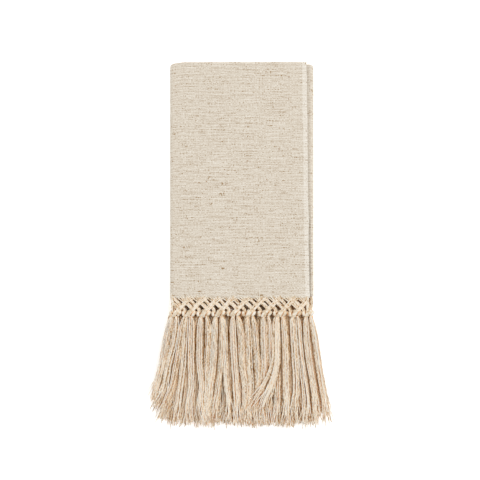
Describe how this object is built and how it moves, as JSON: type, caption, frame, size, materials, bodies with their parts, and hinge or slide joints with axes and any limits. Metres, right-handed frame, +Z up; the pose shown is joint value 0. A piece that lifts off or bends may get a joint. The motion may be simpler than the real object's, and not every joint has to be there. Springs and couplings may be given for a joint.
{
  "type": "folded guest towel",
  "caption": "Cotton hand towel with knotted lattice heading and long tassel fringe, doubled and folded in three, lying flat.",
  "frame": {"origin": "on the surface it lies on, below the middle of the bounding box", "axes": "+X to the towel's right seen from above, +Y away from the fringe, +Z up"},
  "size_m": [0.161, 0.3233, 0.0181],
  "materials": {
    "cotton_cloth": "unbleached slub cotton, plain weave",
    "cotton_fringe": "unbleached cotton yarn, knotted and loose"
  },
  "bodies": {
    "root": {"towel_cloth": "cotton_cloth", "front_fringe": "cotton_fringe", "back_fringe": "cotton_fringe"}
  },
  "joints": []
}
